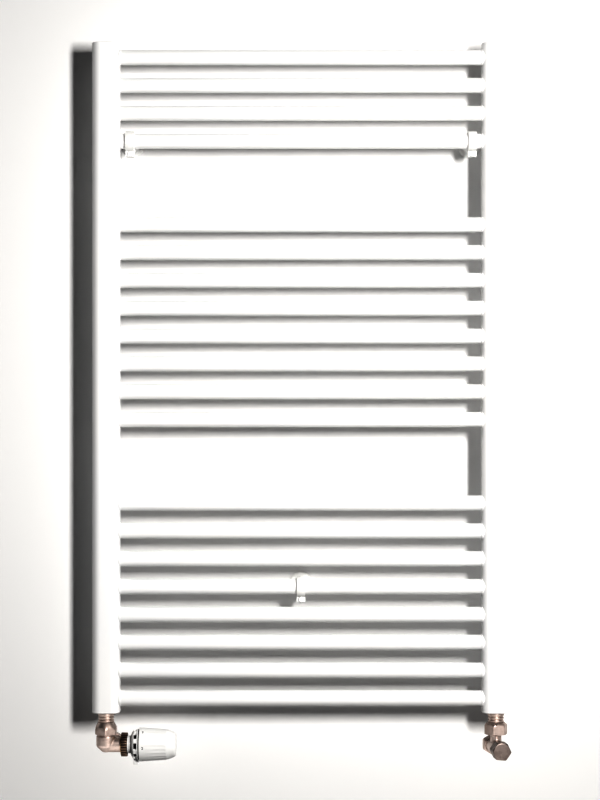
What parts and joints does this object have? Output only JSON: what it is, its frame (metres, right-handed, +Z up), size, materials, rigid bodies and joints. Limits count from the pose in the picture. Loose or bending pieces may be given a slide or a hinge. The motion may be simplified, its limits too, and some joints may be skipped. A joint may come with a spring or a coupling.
{
  "type": "ladder towel radiator with thermostatic valve",
  "caption": "White ladder towel radiator with rounded collectors and horizontal rails, hung on wall clips, with a thermostatic valve and a lockshield valve underneath.",
  "frame": {"origin": "midway between the two upper wall screws, on the wall plane, at the height of the fourth rail", "axes": "+X to the right as seen from the room, +Y into the wall, +Z up"},
  "size_m": [0.6, 0.1081, 1.036],
  "materials": {
    "enamel": "white baked powder coat, semi-gloss, with a fine orange peel",
    "clip_plastic": "white moulded plastic, satin",
    "zinc_screw": "bright zinc plated",
    "nickel_brass": "matt nickel plated brass with a warm, pinkish brown tint",
    "bare_brass": "turned brass",
    "dark_ring": "dark bronzed, knurled",
    "stainless": "polished stainless",
    "rubber": "black sealing rubber",
    "head_white": "white moulded plastic, semi-gloss",
    "capsule": "grey moulded sleeve over a sealed capsule"
  },
  "bodies": {
    "radiator": {"blind_plug": "nickel_brass", "bottom_bushes": "enamel", "clip_front_lower": "clip_plastic", "clip_front_upper_left": "clip_plastic", "clip_front_upper_right": "clip_plastic", "clip_screws": "zinc_screw", "clip_stem_lower": "clip_plastic", "clip_stem_upper_left": "clip_plastic", "clip_stem_upper_right": "clip_plastic", "collector_left": "enamel", "collector_right": "enamel", "compression_nuts": "nickel_brass", "coupling_ring": "dark_ring", "end_caps": "enamel", "head_base": "head_white", "lockshield_body": "nickel_brass", "olives": "bare_brass", "plug_seals": "rubber", "rail_01": "enamel", "rail_02": "enamel", "rail_03": "enamel", "rail_04": "enamel", "rail_05": "enamel", "rail_06": "enamel", "rail_07": "enamel", "rail_08": "enamel", "rail_09": "enamel", "rail_10": "enamel", "rail_11": "enamel", "rail_12": "enamel", "rail_13": "enamel", "rail_14": "enamel", "rail_15": "enamel", "rail_16": "enamel", "rail_17": "enamel", "rail_18": "enamel", "rail_19": "enamel", "rail_20": "enamel", "rear_bosses": "enamel", "return_spring": "stainless", "set_screws": "zinc_screw", "thermostatic_body": "nickel_brass", "union_nuts": "nickel_brass", "valve_insert": "bare_brass", "valve_tails": "nickel_brass", "vent_plug": "nickel_brass", "wall_base_lower": "clip_plastic", "wall_base_upper_left": "clip_plastic", "wall_base_upper_right": "clip_plastic"},
    "handle": {"handle": "head_white"},
    "sensor": {"sensor_capsule": "capsule"},
    "stem": {"valve_stem": "stainless", "valve_disc": "rubber"},
    "lock_spindle": {"lockshield_spindle": "bare_brass"},
    "lock_cone": {"lockshield_cone": "bare_brass"},
    "lock_cap": {"lockshield_cap": "nickel_brass"},
    "bleed_screw": {"vent_screw": "bare_brass"},
    "bleed_outlet": {"vent_outlet": "head_white"}
  },
  "joints": [
    {"name": "handle_turn", "type": "hinge", "parent": "radiator", "child": "handle", "pos_m": [-0.28, -0.065, -0.867], "axis": [1, 0, 0], "range_deg": [-150, 150]},
    {"name": "sensor_travel", "type": "slide", "parent": "radiator", "child": "sensor", "axis": [1, 0, 0], "range_m": [-0.0017, 0.0017]},
    {"name": "stem_travel", "type": "slide", "parent": "radiator", "child": "stem", "axis": [1, 0, 0], "range_m": [-0.0017, 0.0017], "deforming": ["return_spring"]},
    {"name": "lock_spindle_turn", "type": "hinge", "parent": "radiator", "child": "lock_spindle", "pos_m": [0.28, -0.065, -0.871], "axis": [0.1219, -0.9925, 0], "range_deg": [-1320, 900]},
    {"name": "lock_cone_travel", "type": "slide", "parent": "radiator", "child": "lock_cone", "axis": [0.1219, -0.9925, 0], "range_m": [-0.0056, 0.0038]},
    {"name": "lock_cap_pull", "type": "slide", "parent": "radiator", "child": "lock_cap", "axis": [0.1219, -0.9925, 0], "range_m": [0, 0.03]},
    {"name": "bleed_screw_turn", "type": "hinge", "parent": "radiator", "child": "bleed_screw", "pos_m": [0.28, -0.0386, 0.118], "axis": [0, 1, 0], "range_deg": [0, 540]},
    {"name": "bleed_outlet_turn", "type": "hinge", "parent": "radiator", "child": "bleed_outlet", "pos_m": [0.28, -0.036, 0.118], "axis": [0, 1, 0], "continuous": true}
  ],
  "couplings": [
    {"joint": "sensor_travel", "follows": "handle_turn", "m_per_rad": 0.00063662},
    {"joint": "stem_travel", "follows": "handle_turn", "m_per_rad": 0.00063662},
    {"joint": "lock_cone_travel", "follows": "lock_spindle_turn", "m_per_rad": 0.00023873}
  ]
}
